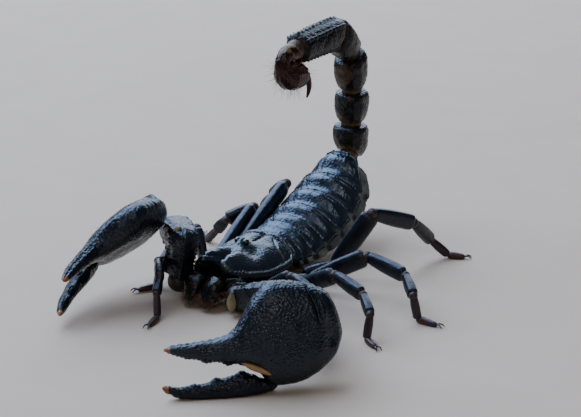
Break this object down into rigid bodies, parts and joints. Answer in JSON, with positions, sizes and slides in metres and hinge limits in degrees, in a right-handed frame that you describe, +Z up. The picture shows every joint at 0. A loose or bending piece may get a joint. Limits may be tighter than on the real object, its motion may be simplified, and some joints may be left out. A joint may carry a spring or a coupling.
{
  "type": "life-size scorpion model",
  "caption": "Life-size black forest scorpion standing on its feet with broad pincers open, body rising to the rear and tail arched forward.",
  "frame": {"origin": "on the floor below the middle of the animal's outline", "axes": "+Z up from the floor, -Y towards the head and pincers, +X towards the animal's left side"},
  "size_m": [0.0694, 0.0944, 0.049],
  "materials": {
    "shell": "glossy blue-black shell with fine granules",
    "plate": "glossy blue-black back plates",
    "fold": "olive-grey pleated skin between the plates",
    "under": "dark brown leg roots and breastbone",
    "leg": "glossy black-brown legs",
    "foot": "dark red-brown feet",
    "sting": "dark red-brown sting bulb and sting",
    "eye": "wet black eyes",
    "jaw": "dark brown jaws with a fringe of orange hair",
    "comb": "tan combs"
  },
  "bodies": {
    "root": {"abdomen": "fold", "arm_left_femur": "shell", "arm_left_finger": "shell", "arm_left_hand": "shell", "arm_left_patella": "shell", "arm_left_trochanter": "shell", "arm_right_femur": "shell", "arm_right_finger": "shell", "arm_right_hand": "shell", "arm_right_patella": "shell", "arm_right_trochanter": "shell", "carapace": "shell", "chelicera_left": "jaw", "chelicera_right": "jaw", "coxae": "under", "eye_left": "eye", "eye_right": "eye", "leg_left_1_femur": "leg", "leg_left_1_foot": "foot", "leg_left_1_patella": "leg", "leg_left_2_femur": "leg", "leg_left_2_foot": "foot", "leg_left_2_patella": "leg", "leg_left_3_femur": "leg", "leg_left_3_foot": "foot", "leg_left_3_patella": "leg", "leg_left_4_femur": "leg", "leg_left_4_foot": "foot", "leg_left_4_patella": "leg", "leg_right_1_femur": "leg", "leg_right_1_foot": "foot", "leg_right_1_patella": "leg", "leg_right_2_femur": "leg", "leg_right_2_foot": "foot", "leg_right_2_patella": "leg", "leg_right_3_femur": "leg", "leg_right_3_foot": "foot", "leg_right_3_patella": "leg", "leg_right_4_femur": "leg", "leg_right_4_foot": "foot", "leg_right_4_patella": "leg", "pectine_left": "comb", "pectine_right": "comb", "tail_1": "shell", "tail_2": "shell", "tail_3": "shell", "tail_4": "shell", "tail_5": "shell", "telson_bulb": "sting", "telson_sting": "sting", "tergite_1": "plate", "tergite_2": "plate", "tergite_3": "plate", "tergite_4": "plate", "tergite_5": "plate", "tergite_6": "plate", "tergite_7": "plate"}
  },
  "joints": []
}
